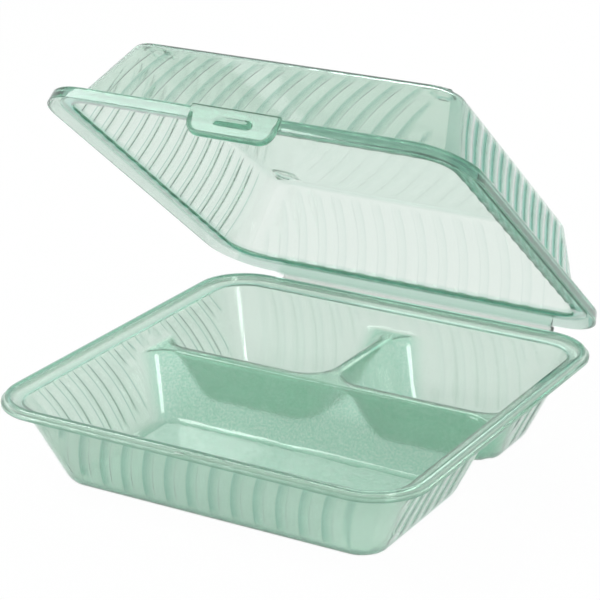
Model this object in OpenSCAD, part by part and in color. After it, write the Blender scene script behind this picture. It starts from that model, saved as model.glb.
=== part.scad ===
// Reusable three-compartment takeout container: a ribbed tray with three cups,
// a ribbed hinged lid with a latch tab, and the thin hinge strip between them.
// It is moulded in one piece. X runs along the hinge, Y points to the hinge at
// the back and Z points up from the table. Sizes are in millimetres.

/* [Tray] */
// Width and depth across the outer lip
lip_width = 229; // [215:1:245]
// Height of the rim's flat flange above the table
tray_height = 43.2; // [40:0.2:50]
// Wall thickness of the whole moulding
wall = 1.6; // [1.2:0.1:2]
// Lean of the tray's walls and dividers from upright
tray_draft = 23.3; // [18:0.1:26]
// Corner radius at the tray's mouth
mouth_radius = 18.2; // [14:0.1:22]
// Corner radius of the cups at the floor
floor_radius = 11; // [9:0.1:14]
// Fillet between the walls and the floor of each cup
floor_fillet = 4; // [2:0.1:6]

/* [Tray rim] */
// Distance from the lip's edge in to the mouth
mouth_inset = 11; // [10:0.1:13]
// Rise of the hollow bead above the flange
bead_rise = 3.3; // [2.6:0.1:4]
// Width of the bead at its foot
bead_width = 4.6; // [4.2:0.1:5.2]
// Width of the ledge outside the bead
ledge_width = 1.5; // [1.2:0.1:1.8]
// Rise of the ledge above the flange
ledge_rise = 0.8; // [0.4:0.1:1.2]
// Thickness of the ledge at the lip's edge
lip_thick = 1.7; // [1.4:0.1:2]
// Width of the small catch on the ledge at the front
catch_width = 6; // [4:0.5:10]

/* [Dividers] */
// Height of the divider ridges above the table
ridge_height = 34; // [30:0.5:36]
// Distance of the long ridge's middle behind the tray's middle
ridge_y = 20.25; // [10:0.25:30]
// Width across the top of the long ridge
ridge_width = 6.5; // [6:0.1:8]
// Width across the top of the short rear ridge
rear_ridge_width = 6; // [6:0.1:8]
// Rounding of the ridges' top edges
ridge_round = 1.2; // [0.6:0.1:1.6]

/* [Lid] */
// Gap between the closed lid's lip and the tray's ledge
lid_gap = 0.3; // [0.2:0.05:0.5]
// Height of the lid from its lip to the top panel
lid_height = 44.3; // [40:0.1:52]
// Lean of the lid's walls from upright
lid_draft = 20.8; // [16:0.1:24]
// Height of the band round the lid's lip
band_height = 6.3; // [6:0.1:7.5]
// How far the band narrows from its lip up to its top
band_lean = 0.9; // [0.5:0.1:1.3]
// Distance from the lid's lip in to its mouth
lid_mouth_inset = 13; // [12:0.1:14]
// Corner radius of the lid's walls
lid_radius = 12.5; // [10:0.1:16]
// Corner radius of the lid's lip
lid_lip_radius = 28; // [26:0.1:30]
// Fillet between the lid's walls and its top panel
panel_fillet = 3; // [2:0.1:5]
// How far the lid stands open
lid_open = 37.75; // [0:0.25:90]

/* [Lid nubs] */
// Diameter of the round nubs on the top panel
nub_diameter = 12; // [8:0.5:14]
// Height of the nubs
nub_rise = 1.2; // [0.6:0.1:2]
// Distance of each nub from the lid's middle planes
nub_place = 76; // [66:0.5:77]

/* [Ribs] */
// Distance from one rib to the next
rib_pitch = 12.1; // [10:0.1:16]
// Width of a rib
rib_width = 7.1; // [5:0.1:9]
// Height of a rib over the wall
rib_relief = 0.45; // [0.2:0.05:0.6]
// Radius of the arc that a tray rib follows
tray_rib_bend = 88; // [70:1:200]
// Radius of the arc that a lid rib follows
lid_rib_bend = 78; // [70:1:200]
// Sideways shift of the tray's rib pattern
tray_rib_shift = -2.4; // [-6:0.1:6]
// Sideways shift of the lid's rib pattern
lid_rib_shift = -3.9; // [-6:0.1:6]
// How far a rib may run past the flat of its wall
rib_overrun = 1.5; // [0:0.1:2]

/* [Latch tab] */
// Width of the tab
tab_width = 47; // [36:1:60]
// Distance from the top of the band down to the tab's lower edge
tab_drop = 15; // [13:0.5:18]
// Radius of the tab's lower corners
tab_radius = 8; // [4:0.5:9]
// Clearance between the tab and the tray's lip
tab_gap = 0.35; // [0.3:0.05:0.6]
// Length of the raised grip bar on the tab
grip_length = 19; // [12:1:30]
// Height of the grip bar
grip_height = 3; // [2:0.1:4]
// How far the grip bar and the tab's edge bead stand proud
grip_rise = 0.8; // [0.4:0.1:1.2]

/* [Hinge] */
// Length of the hinge along the back edge
hinge_length = 163; // [120:1:168]
// Depth of the flat hinge leaf behind each lip
leaf_depth = 4.8; // [3:0.1:6]
// Thickness of each hinge leaf
leaf_thick = 1; // [0.8:0.05:1.2]
// Thickness of the thin strip that bends
web_thick = 0.4; // [0.3:0.05:0.5]
// Distance from the end of the leaves to the hinge line
web_reach = 1.1; // [1:0.05:1.6]

/* [Hidden] */
$fn = 24;
skin = 0.01;
cut = 0.4;
fillet_steps = 3;
rib_steps = 3;
plastic = [0.62, 0.8, 0.74];
clear_plastic = [0.7, 0.86, 0.8];

lip_half = lip_width / 2;
mouth_half = lip_half - mouth_inset;
tray_slope = tan(tray_draft);
tray_skin = wall / cos(tray_draft);
flange_low = tray_height - wall;
bead_half = lip_half - ledge_width;
ledge_top = tray_height + ledge_rise;
bead_top = tray_height + bead_rise;
catch_rise = (bead_top - ledge_top) / 2;
corner_y = mouth_half - mouth_radius;

lid_slope = tan(lid_draft);
lid_skin = wall / cos(lid_draft);
lid_lip = ledge_top + lid_gap;
lid_top = lid_lip + lid_height;
band_top = lid_lip + band_height;
lid_mouth_half = lip_half - lid_mouth_inset;
lid_mouth = bead_top + lid_gap + 0.1;
lid_floor = lid_top - wall;
lid_wall_foot = lid_mouth + wall;

hinge_y = lip_half + leaf_depth + web_reach;
hinge_z = ledge_top + lid_gap / 2;

// Half width of the tray's mouth, measured inside, at a height
function tray_inside(z) = mouth_half - tray_slope * (tray_height - z);

// Corner radius of the tray's walls at a height
function tray_corner(z) = floor_radius + (mouth_radius - floor_radius) * z / tray_height;

// Half width of the lid, measured inside, at a height
function lid_inside(z) = lid_mouth_half - lid_slope * (z - lid_mouth);

// A box of limits, left, right, front and back, drawn in on every side
function drawn_in(b, by) = [b[0] + by, b[1] - by, b[2] + by, b[3] - by];

function square_box(half) = [-half, half, -half, half];

// A thin plate with rounded corners at a height
module plate(limits, radius, z) {
    translate([limits[0] + radius, limits[2] + radius, z])
        linear_extrude(skin)
            offset(r = radius)
                square([limits[1] - limits[0] - 2 * radius, limits[3] - limits[2] - 2 * radius]);
}

// A rounded block whose size and corners change from low to high
module taper(half_low, radius_low, z_low, half_high, radius_high, z_high) {
    hull() {
        plate(square_box(half_low), radius_low, z_low);
        plate(square_box(half_high), radius_high, z_high - skin);
    }
}

// A drafted cup with a filleted floor. Its walls meet the limits at the top.
module cup(limits, z_top, z_floor, radius_top, radius_floor, fillet, slope, draft) {
    z_tangent = z_floor + fillet * (1 - sin(draft));
    hull() {
        plate(limits, radius_top, z_top - skin);
        for (step = [0:fillet_steps]) {
            turn = (90 - draft) * step / fillet_steps;
            inset = slope * (z_top - z_tangent) + fillet * (cos(draft) - sin(turn));
            plate(drawn_in(limits, inset), radius_floor, z_floor + fillet * (1 - cos(turn)));
        }
    }
}

// Limits of the three cups at the ridges' height
module each_cup(grow, z_floor, fillet) {
    half = tray_inside(ridge_height) + grow;
    front = ridge_y - ridge_width / 2 + grow;
    rear = ridge_y + ridge_width / 2 - grow;
    side = rear_ridge_width / 2 - grow;
    radius = tray_corner(ridge_height);
    for (limits = [[-half, half, -half, front], [side, half, rear, half], [-half, -side, rear, half]])
        cup(limits, ridge_height, z_floor, radius + grow, floor_radius + grow, fillet, tray_slope, tray_draft);
}

// The rounded edges that the ridges have along each cup
module ridge_edges() {
    half = tray_inside(ridge_height) - ridge_round;
    front = ridge_y - ridge_width / 2;
    rear = ridge_y + ridge_width / 2;
    side = rear_ridge_width / 2;
    radius = tray_corner(ridge_height);
    for (limits = [[-half, half, -half, front], [side, half, rear, half], [-half, -side, rear, half]])
        hull() {
            plate(limits, radius, ridge_height - ridge_round);
            plate(drawn_in(limits, -ridge_round / 4), radius, ridge_height - ridge_round / 2);
            plate(drawn_in(limits, -ridge_round), radius, ridge_height + skin);
        }
}

// Sideways lean of a rib at a height up its wall
function lean(bend, h) = bend - sqrt(bend * bend - h * h);

// Whether a rib lies on the flat of its wall at a height, clear of a divider.
// Flats holds the flat's half width and height at the foot and at the top. Gap
// holds a divider's two sides at the foot, its two sides at the top and its height.
function on_flat(place, bend, h, flats, gap) =
    let (
        left = place - rib_width / 2 + lean(bend, h),
        right = left + rib_width,
        flat = flats[0] + (flats[2] - flats[0]) * (h - flats[1]) / (flats[3] - flats[1]) + rib_overrun,
        up = h / gap[4]
    )
    left > -flat && right < flat
        && (up > 1 || right < gap[0] + (gap[2] - gap[0]) * up || left > gap[1] + (gap[3] - gap[1]) * up);

// One rib seen square to its wall: a strip between two arcs
module rib(place, bend, low, high) {
    rise = [for (step = [0:rib_steps]) low + (high - low) * step / rib_steps];
    right = [for (h = rise) [place + rib_width / 2 + lean(bend, h), h]];
    left = [for (step = [rib_steps:-1:0]) [place - rib_width / 2 + lean(bend, rise[step]), rise[step]]];
    polygon(concat(right, left));
}

// All the ribs of one wall, each over the stretch where it lies on the flat
module rib_pattern(shift, bend, flats, gap) {
    low = flats[1];
    high = flats[3];
    reach = ceil((max(flats[0], flats[2]) + rib_width) / rib_pitch);
    for (count = [-reach:reach]) {
        place = shift + count * rib_pitch;
        heights = [for (h = [low:0.5:high]) if (on_flat(place, bend, h, flats, gap)) h];
        if (len(heights) > 5)
            rib(place, bend, heights[0], heights[len(heights) - 1]);
    }
}

// The tray's ribs as bands that start inside its walls and rise over a face.
// They are left off where a divider meets the wall.
module tray_ribs(depth) {
    upright = cos(tray_draft);
    radius = tray_corner(ridge_height);
    foot = tray_slope * ridge_height - radius + floor_radius;
    top = (ridge_height + ridge_round) / upright;
    front = ridge_y - ridge_width / 2 - radius;
    rear = ridge_y + ridge_width / 2 + radius;
    side = rear_ridge_width / 2 + radius;
    flats = [tray_inside(0) + tray_skin - floor_radius, (floor_fillet + 0.8) / upright,
        tray_inside(flange_low) + tray_skin - mouth_radius, (flange_low - 1.4) / upright];
    gaps = [
        [0, 0, 0, 0, 0.1],
        [front - foot, rear + foot, front, rear, top],
        [-side - foot, side + foot, -side, side, top],
        [-rear - foot, foot - front, -rear, -front, top]
    ];
    for (wall_side = [0:3])
        rotate([0, 0, 90 * wall_side])
            translate([0, -tray_inside(0) - tray_skin, 0])
                rotate([90 + tray_draft, 0, 0])
                    translate([0, 0, depth - cut])
                        linear_extrude(rib_relief + cut)
                            rib_pattern(tray_rib_shift, tray_rib_bend, flats, gaps[wall_side]);
}

// The lid's ribs, the same way
module lid_ribs(depth) {
    upright = cos(lid_draft);
    flats = [lid_inside(lid_wall_foot) + lid_skin - lid_radius, 0.3 / upright,
        lid_inside(lid_top) + lid_skin - lid_radius, (lid_top - panel_fillet - 0.6 - lid_wall_foot) / upright];
    for (wall_side = [0:3])
        rotate([0, 0, 90 * wall_side])
            translate([0, -lid_inside(lid_wall_foot) - lid_skin, lid_wall_foot])
                rotate([90 - lid_draft, 0, 0])
                    translate([0, 0, depth - cut])
                        linear_extrude(rib_relief + cut)
                            rib_pattern(lid_rib_shift, lid_rib_bend, flats, [0, 0, 0, 0, 0.1]);
}

// The flange, ledge and hollow bead that run round the tray
module tray_rim() {
    crown = 0.6;
    difference() {
        union() {
            taper(bead_half, bead_half - corner_y, flange_low, bead_half - 0.2, bead_half - corner_y, bead_top - crown);
            taper(bead_half - 0.2, bead_half - corner_y, bead_top - crown, bead_half - crown, bead_half - corner_y, bead_top);
            taper(lip_half, lip_half - corner_y, ledge_top - lip_thick, lip_half, lip_half - corner_y, ledge_top);
        }
        taper(bead_half - bead_width, bead_half - bead_width - corner_y, tray_height,
            bead_half - bead_width + 1, bead_half - bead_width - corner_y, bead_top - crown);
        taper(bead_half - bead_width + 1, bead_half - bead_width - corner_y, bead_top - crown - skin,
            bead_half - bead_width + 1.6, bead_half - bead_width - corner_y, bead_top + 1);
        bead_hollow();
    }
}

// The groove under the bead, which keeps its wall even
module bead_hollow() {
    outer = bead_half - wall;
    inner = bead_half - bead_width + wall;
    difference() {
        taper(outer, outer - corner_y, flange_low - 1, outer - 0.1, outer - corner_y, bead_top - wall);
        taper(inner, inner - corner_y, flange_low - 2, inner, inner - corner_y, bead_top);
    }
}

// The small catch on the ledge at the front
module catch() {
    translate([-catch_width / 2, -lip_half + 0.05, ledge_top - 0.5])
        cube([catch_width, ledge_width + 0.4, 0.5 + catch_rise]);
}

// The notch in the lid's band that the catch fits into
module catch_notch() {
    room = 0.6;
    translate([-catch_width / 2 - room, -lip_half - tab_gap + 0.05, lid_lip - 1])
        cube([catch_width + 2 * room, tab_gap + ledge_width, catch_rise + 1.1]);
}

// A flat hinge leaf behind a lip, between two heights
module leaf(low) {
    translate([-hinge_length / 2, lip_half - 1, low])
        cube([hinge_length, leaf_depth + 1, leaf_thick]);
}

module tray() {
    color(plastic)
        difference() {
            union() {
                each_cup(tray_skin, 0, floor_fillet + wall);
                taper(tray_inside(ridge_height - wall) + tray_skin, tray_corner(ridge_height - wall) + tray_skin,
                    ridge_height - wall, tray_inside(flange_low) + tray_skin, mouth_radius + tray_skin, flange_low + skin);
                tray_rim();
                catch();
                leaf(ledge_top - leaf_thick);
                tray_ribs(0);
            }
            each_cup(0, wall, floor_fillet);
            ridge_edges();
            taper(tray_inside(ridge_height), tray_corner(ridge_height), ridge_height,
                tray_inside(tray_height), mouth_radius, tray_height + skin);
            taper(mouth_half, mouth_radius, tray_height, mouth_half, mouth_radius, bead_top + 2);
            tray_ribs(-wall);
        }
}

// The band, flange and step that run round the lid's lip
module lid_rim() {
    step_half = lip_half - bead_width - ledge_width + 0.5;
    step_radius = lid_lip_radius - lip_half + step_half;
    crown = 0.6;
    difference() {
        union() {
            taper(lip_half, lid_lip_radius, lid_lip, lip_half - band_lean, lid_lip_radius, band_top - crown);
            taper(lip_half - band_lean, lid_lip_radius, band_top - crown,
                lip_half - band_lean - crown, lid_lip_radius - crown, band_top);
        }
        taper(lip_half - 1, lid_lip_radius - 1, lid_lip - 1, lip_half - 1.2, lid_lip_radius - 1.2, lid_mouth);
        difference() {
            taper(lip_half - 1.2, lid_lip_radius - 1.2, lid_mouth - skin,
                lip_half - band_lean - wall, lid_lip_radius - wall, band_top - wall);
            taper(step_half, step_radius, lid_mouth - 1, step_half, step_radius, band_top);
        }
        taper(step_half - wall, step_radius - wall, lid_wall_foot,
            step_half - wall, step_radius - wall, band_top + 1);
    }
}

// Outline of the latch tab, seen from the front, drawn in on every side
module tab_outline(inset) {
    half = tab_width / 2 - inset;
    radius = tab_radius - inset;
    hull() {
        for (side = [-1, 1])
            translate([side * (half - radius), band_top - tab_drop + inset + radius])
                circle(radius);
        translate([-half, band_top - 1])
            square([2 * half, 1]);
    }
}

// The tab that hangs in front of the tray's lip, with its edge bead and grip bar
module latch_tab() {
    back = lip_half + tab_gap;
    bead = 1.8;
    translate([0, -back, 0])
        rotate([90, 0, 0]) {
            linear_extrude(wall)
                tab_outline(0);
            linear_extrude(wall + grip_rise)
                difference() {
                    tab_outline(0);
                    tab_outline(bead);
                    translate([-tab_width, band_top - tab_drop + tab_radius])
                        square([2 * tab_width, tab_drop]);
                }
            linear_extrude(wall + grip_rise)
                hull()
                    for (side = [-1, 1])
                        translate([side * (grip_length - grip_height) / 2, lid_lip])
                            circle(grip_height / 2);
        }
    translate([-tab_width / 2, -back - skin, lid_lip])
        cube([tab_width, tab_gap + 0.6, band_height]);
}

// The round nubs on the top panel, hollow from below
module nubs(rise, radius, z) {
    for (x = [-nub_place, nub_place], y = [-nub_place, nub_place])
        translate([x, y, z])
            cylinder(h = rise, r = radius, $fn = 24);
}

// The lid as it lies when closed
module closed_lid() {
    difference() {
        union() {
            translate([0, 0, lid_top])
                mirror([0, 0, 1])
                    cup(square_box(lid_inside(lid_mouth) + lid_skin), lid_top - lid_mouth, 0, lid_radius + lid_skin,
                        lid_radius, panel_fillet + wall, lid_slope, lid_draft);
            lid_rim();
            leaf(lid_lip);
            latch_tab();
            lid_ribs(0);
            nubs(nub_rise + skin, nub_diameter / 2, lid_top - skin);
        }
        translate([0, 0, lid_floor])
            mirror([0, 0, 1])
                cup(square_box(lid_mouth_half), lid_floor - lid_mouth + skin, 0, lid_radius, lid_radius - lid_skin,
                    panel_fillet, lid_slope, lid_draft);
        taper(lid_mouth_half, lid_radius, lid_mouth - 1, lid_mouth_half, lid_radius, lid_mouth + 2 * skin);
        nubs(nub_rise + skin, nub_diameter / 2 - wall, lid_floor - skin);
        catch_notch();
        lid_ribs(-wall);
    }
}

module lid() {
    color(clear_plastic)
        translate([0, hinge_y, hinge_z])
            rotate([-lid_open, 0, 0])
                translate([0, -hinge_y, -hinge_z])
                    closed_lid();
}

// The thin strip that bends, wrapped round the hinge line from leaf to leaf
module hinge_web() {
    reach = ledge_top - leaf_thick / 2 - hinge_z;
    radius = sqrt(web_reach * web_reach + reach * reach);
    start = acos(-web_reach / (radius + web_thick / 2 + 0.02));
    color(plastic)
        translate([-hinge_length / 2, hinge_y, hinge_z])
            rotate([90, 0, 90])
                rotate([0, 0, -start])
                    rotate_extrude(angle = 2 * start - lid_open, $fn = 64)
                        translate([radius - web_thick / 2, 0])
                            square([web_thick, hinge_length]);
}

tray();
lid();
hinge_web();
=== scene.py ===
# %% [markdown]
# # A reusable three-compartment takeout container
#
# The real container is one moulding of translucent polypropylene: a ribbed tray
# with three cups, a ribbed lid, and a thin strip between them that bends as a
# hinge. This lesson dresses a imported model of it. The frame below holds the
# plain solids that the physics uses. The tray, the lid and the tab made here ride
# on its bodies, in metres, in the same place; the hinge strip and the floor don't.

# %% The frame
import math

import bpy
import numpy as np
from mathutils import Matrix


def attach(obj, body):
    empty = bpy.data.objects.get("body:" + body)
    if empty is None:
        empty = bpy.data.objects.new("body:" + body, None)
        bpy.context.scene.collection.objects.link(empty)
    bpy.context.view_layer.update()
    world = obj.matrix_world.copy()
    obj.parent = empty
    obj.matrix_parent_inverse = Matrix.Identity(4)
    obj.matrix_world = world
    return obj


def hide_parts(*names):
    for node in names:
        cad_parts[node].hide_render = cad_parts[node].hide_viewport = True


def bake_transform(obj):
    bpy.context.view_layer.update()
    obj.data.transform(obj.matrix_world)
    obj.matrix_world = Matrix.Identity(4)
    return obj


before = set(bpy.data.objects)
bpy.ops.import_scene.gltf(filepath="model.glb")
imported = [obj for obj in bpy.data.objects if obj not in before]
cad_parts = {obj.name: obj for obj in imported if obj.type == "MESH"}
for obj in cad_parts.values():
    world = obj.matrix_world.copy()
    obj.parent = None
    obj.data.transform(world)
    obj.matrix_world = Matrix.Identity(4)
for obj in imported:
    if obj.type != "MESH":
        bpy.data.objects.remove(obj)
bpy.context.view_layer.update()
MM = 0.001

# %% [markdown]
# ## Camera, light and background
#
# A product photograph of clear plastic needs a white surround, because what one
# sees in the plastic is mostly what stands behind it. The surround is white only
# for rays that come from the camera, from gloss and through the plastic. The
# lamps stay soft and plain, so the colours render as they are written.

# %% The camera
TURN, RISE, ROLL = (math.radians(angle) for angle in (29.544, 20.868, 0.377))
AIM = np.array([-5.962, 9.929, 64.075]) * MM
DISTANCE = 1.130451
back = np.array([math.sin(TURN) * math.cos(RISE), -math.cos(TURN) * math.cos(RISE), math.sin(RISE)])
level = np.array([math.cos(TURN), math.sin(TURN), 0.0])
upright = np.cross(back, level)
right = math.cos(ROLL) * level + math.sin(ROLL) * upright
above = math.cos(ROLL) * upright - math.sin(ROLL) * level

camera_data = bpy.data.cameras.new("camera")
camera_data.lens = 136.496
camera_data.sensor_width = 36.0
camera_data.shift_x = -0.00437
camera_data.shift_y = 0.04704
camera = bpy.data.objects.new("camera", camera_data)
pose = np.eye(4)
pose[:3, 0], pose[:3, 1], pose[:3, 2] = right, above, back
pose[:3, 3] = AIM + DISTANCE * back
camera.matrix_world = Matrix(pose.tolist())
bpy.context.scene.collection.objects.link(camera)
bpy.context.scene.camera = camera
bpy.context.scene.view_settings.view_transform = "Standard"
cycles = bpy.context.scene.cycles
cycles.max_bounces, cycles.transmission_bounces, cycles.glossy_bounces = 28, 28, 20
print("camera at", pose[:3, 3].round(3))


# %% Helpers for node trees
def new_tree(owner):
    """Gives an owner an empty node tree and returns its nodes and links."""
    owner.use_nodes = True
    tree = owner.node_tree
    tree.nodes.clear()
    return tree.nodes, tree.links


def math_node(nodes, links, operation, first, second):
    """One step of arithmetic. Each side is a number or another node's output."""
    node = nodes.new("ShaderNodeMath")
    node.operation = operation
    for socket, value in zip(node.inputs, (first, second)):
        if isinstance(value, bpy.types.NodeSocket):
            links.new(value, socket)
        else:
            socket.default_value = value
    return node.outputs[0]


def white_ray(nodes, links, gloss_share, through_share):
    """A mask that is 1 for rays from the camera, and less for rays from gloss and
    through plastic, so that these keep some contrast."""
    path = nodes.new("ShaderNodeLightPath")
    gloss = math_node(nodes, links, "MULTIPLY", path.outputs["Is Glossy Ray"], gloss_share)
    through = math_node(nodes, links, "MULTIPLY", path.outputs["Is Transmission Ray"], through_share)
    return math_node(nodes, links, "MAXIMUM", path.outputs["Is Camera Ray"],
                     math_node(nodes, links, "MAXIMUM", gloss, through))


def ramp(nodes, links, value, limits, results):
    """A smooth ramp from one result to another between two limits."""
    node = nodes.new("ShaderNodeMapRange")
    node.interpolation_type = "SMOOTHSTEP"
    for socket, number in zip(list(node.inputs)[1:5], (*limits, *results)):
        socket.default_value = number
    links.new(value, node.inputs[0])
    return node.outputs[0]


# %% The world
world = bpy.data.worlds.new("studio")
bpy.context.scene.world = world
nodes, links = new_tree(world)
plain = nodes.new("ShaderNodeBackground")
plain.inputs["Color"].default_value = (0.80, 0.95, 0.89, 1)
plain.inputs["Strength"].default_value = 0.55
white = nodes.new("ShaderNodeBackground")
white.inputs["Color"].default_value = (1, 1, 1, 1)
white.inputs["Strength"].default_value = 1.0
mix = nodes.new("ShaderNodeMixShader")
output = nodes.new("ShaderNodeOutputWorld")
links.new(white_ray(nodes, links, 0.4, 1.0), mix.inputs[0])
links.new(plain.outputs[0], mix.inputs[1])
links.new(white.outputs[0], mix.inputs[2])
links.new(mix.outputs[0], output.inputs["Surface"])


# %% The lamps
def soft_lamp(name, place, aim, size, watts):
    """A square area lamp at a place, turned to an aim point."""
    lamp_data = bpy.data.lights.new(name, "AREA")
    lamp_data.shape = "RECTANGLE"
    lamp_data.size, lamp_data.size_y = size
    lamp_data.energy = watts
    lamp = bpy.data.objects.new(name, lamp_data)
    away = np.array(place, float) - np.array(aim, float)
    away /= np.linalg.norm(away)
    side = np.cross((0, 0, 1), away)
    side /= np.linalg.norm(side)
    matrix = np.eye(4)
    matrix[:3, 0], matrix[:3, 1], matrix[:3, 2] = side, np.cross(away, side), away
    matrix[:3, 3] = place
    lamp.matrix_world = Matrix(matrix.tolist())
    bpy.context.scene.collection.objects.link(lamp)
    return lamp


soft_lamp("key", (-0.9, -0.5, 1.1), (0, 0, 0.05), (0.7, 0.7), 9)
soft_lamp("fill", (1.1, -0.7, 0.7), (0, 0, 0.05), (0.36, 0.9), 6.5)
soft_lamp("rear", (-0.2, 1.1, 0.9), (0, 0, 0.05), (0.9, 0.5), 5).visible_glossy = False


# %% The floor
def surface_object(name, points, faces):
    """A mesh object at the origin from arrays of points and faces."""
    mesh = bpy.data.meshes.new(name)
    mesh.from_pydata(points.tolist(), [], [list(map(int, face)) for face in faces])
    mesh.update()
    thing = bpy.data.objects.new(name, mesh)
    bpy.context.scene.collection.objects.link(thing)
    return thing


def paint(thing, name, values):
    """Keeps a value from 0 to 1 for each point of a mesh, for its material to read."""
    layer = thing.data.attributes.new(name, "FLOAT", "POINT")
    layer.data.foreach_set("value", np.clip(values, 0, 1).astype(np.float32).ravel())


FLOOR_HALF = 6.0
floor_corners = np.array([[-1, -1, 0], [1, -1, 0], [1, 1, 0], [-1, 1, 0]], float) * FLOOR_HALF
floor = surface_object("floor", floor_corners, [[0, 1, 2, 3]])
paper = bpy.data.materials.new("paper")
nodes, links = new_tree(paper)
matt = nodes.new("ShaderNodeBsdfDiffuse")
matt.inputs["Color"].default_value = (0.93, 0.93, 0.93, 1)
glow = nodes.new("ShaderNodeEmission")
glow.inputs["Color"].default_value = (1, 1, 1, 1)
glow.inputs["Strength"].default_value = 1.0
blend = nodes.new("ShaderNodeMixShader")
where = nodes.new("ShaderNodeTexCoord")
parts = nodes.new("ShaderNodeSeparateXYZ")
output = nodes.new("ShaderNodeOutputMaterial")
links.new(where.outputs["Object"], parts.inputs[0])
away_x = math_node(nodes, links, "ABSOLUTE", parts.outputs["X"], 0)
away_y = math_node(nodes, links, "ABSOLUTE", parts.outputs["Y"], 0)
outside = ramp(nodes, links, math_node(nodes, links, "MAXIMUM", away_x, away_y), (0.082, 0.125), (0, 1))
# Seen through the plastic, the floor glows fully outside the tray's footprint. Under
# it the glow is less, as a painted shadow of the tray: most at the rear and least at
# the front right.
from_rear = ramp(nodes, links, parts.outputs["Y"], (0.0, 0.08), (0, 0.85))
from_left = ramp(nodes, links, parts.outputs["X"], (-0.09, 0.09), (0.65, 0.1))
painted_shadow_glow = math_node(nodes, links, "MAXIMUM", from_rear, from_left)
lit = math_node(nodes, links, "MAXIMUM", outside, painted_shadow_glow)
share = math_node(nodes, links, "MULTIPLY", white_ray(nodes, links, 0.5, lit), 0.975)
links.new(share, blend.inputs[0])
links.new(matt.outputs[0], blend.inputs[1])
links.new(glow.outputs[0], blend.inputs[2])
links.new(blend.outputs[0], output.inputs["Surface"])
floor.data.materials.append(paper)

# %% [markdown]
# ## Sizes
#
# These are the same named sizes as in the part's source, in millimetres. Closed,
# the lid's lip lies just over the tray's ledge. The lid is worked out closed and
# then turned open about the hinge line, as the real one is.

# %% Sizes of the tray and lid
LIP_HALF = 114.5
WALL = 1.6
TRAY_DRAFT, TRAY_SLOPE = math.radians(23.3), math.tan(math.radians(23.3))
TRAY_SKIN = WALL / math.cos(TRAY_DRAFT)
FLANGE_TOP, FLANGE_LOW = 43.2, 41.6
MOUTH_HALF, MOUTH_RADIUS, FLOOR_RADIUS = 103.5, 18.2, 11.0
BEAD_HALF, BEAD_WIDTH, BEAD_TOP = 113.0, 4.6, 46.5
LEDGE_TOP, LIP_THICK, CORNER_MIDDLE = 44.0, 1.7, 85.3
RIDGE_TOP, RIDGE_Y, RIDGE_WIDTH, REAR_RIDGE_WIDTH = 34.0, 20.25, 6.5, 6.0
CATCH_WIDTH, CATCH_RISE = 6.0, 1.25

LID_DRAFT, LID_SLOPE = math.radians(20.8), math.tan(math.radians(20.8))
LID_SKIN = WALL / math.cos(LID_DRAFT)
LID_LIP, BAND_TOP, BAND_LEAN = 44.3, 50.6, 0.9
LID_MOUTH_HALF, LID_MOUTH, LID_TOP = 101.5, 46.9, 88.6
LID_RADIUS, LID_LIP_RADIUS, PANEL_FILLET = 12.5, 28.0, 3.0
STEP_HALF = 108.9
NUB_RADIUS, NUB_RISE, NUB_PLACE = 6.0, 1.2, 76.0

RIB_PITCH, RIB_WIDTH, RIB_RELIEF = 12.1, 7.1, 0.45
TRAY_BEND, LID_BEND = 88.0, 78.0
TRAY_SHIFT, LID_SHIFT = -2.4, -3.9

HINGE_Y, HINGE_Z, OPEN = 120.4, 44.15, math.radians(37.75)
HINGE_LENGTH, LEAF_DEPTH, LEAF_THICK = 163.0, 4.8, 1.0


def tray_inside(z):
    """Half width of the tray's mouth, measured inside, at a height."""
    return MOUTH_HALF - TRAY_SLOPE * (FLANGE_TOP - z)


def tray_corner(z):
    """Corner radius of the tray's walls, which grows evenly with height."""
    return FLOOR_RADIUS + (MOUTH_RADIUS - FLOOR_RADIUS) * z / FLANGE_TOP


def lid_inside(z):
    """Half width of the lid, measured inside, at a height."""
    return LID_MOUTH_HALF - LID_SLOPE * (z - LID_MOUTH)


# %% [markdown]
# ## Lines that follow the ribs
#
# Both halves of the moulding have the same leaning ribs on all four walls. A
# rib's edge is crisp only if the mesh has lines that run along it, so each side
# gets lines at the ribs' edges, and going up a wall those lines lean as the ribs
# do. Each half is then one closed skin: a square patch in the middle, rings that
# grow from it over the walls and the rim, and a second patch below.


# %% Lean and lines
def lean(bend, h):
    """Sideways lean of a rib: the arc of radius bend, upright at its foot."""
    return bend - np.sqrt(bend * bend - h * h)


RIB_REACH = 12
RIB_COUNTS = np.arange(-RIB_REACH, RIB_REACH + 1)
RIB_MARKS = np.array([-0.45, 0, 0.45, 2.4, 4.5, 5.0, 5.5, 8.6])
CORNER_REACH, CORNER_LINES = 10.0, 9


def refine(lines, low, high, count):
    """Splits the widest gap between two limits, count times."""
    for _ in range(count):
        gaps = np.diff(lines)
        middles = (lines[1:] + lines[:-1]) / 2
        gaps = np.where((middles > low) & (middles < high), gaps, 0)
        widest = int(np.argmax(gaps))
        lines = np.insert(lines, widest + 1, middles[widest])
    return lines


def rib_lines(edge, flat):
    """Lines of one side: marks round each crisp rib edge, and more in the corners."""
    marks = np.sort((edge + RIB_PITCH * RIB_COUNTS[:, None] + RIB_MARKS[None, :]).ravel())
    marks = marks[(marks > -flat + 0.5) & (marks < flat - 0.5)]
    corner = np.linspace(flat, flat + CORNER_REACH, CORNER_LINES + 1)
    return np.concatenate([-corner[::-1], marks, corner])


RIDGE_MARKS = np.array([-5, -4.3, -3.85, -3.5, -3.15, -2.7, -1.4, 0, 1.4, 2.7, 3.15, 3.5, 3.85, 4.3, 5])


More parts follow.
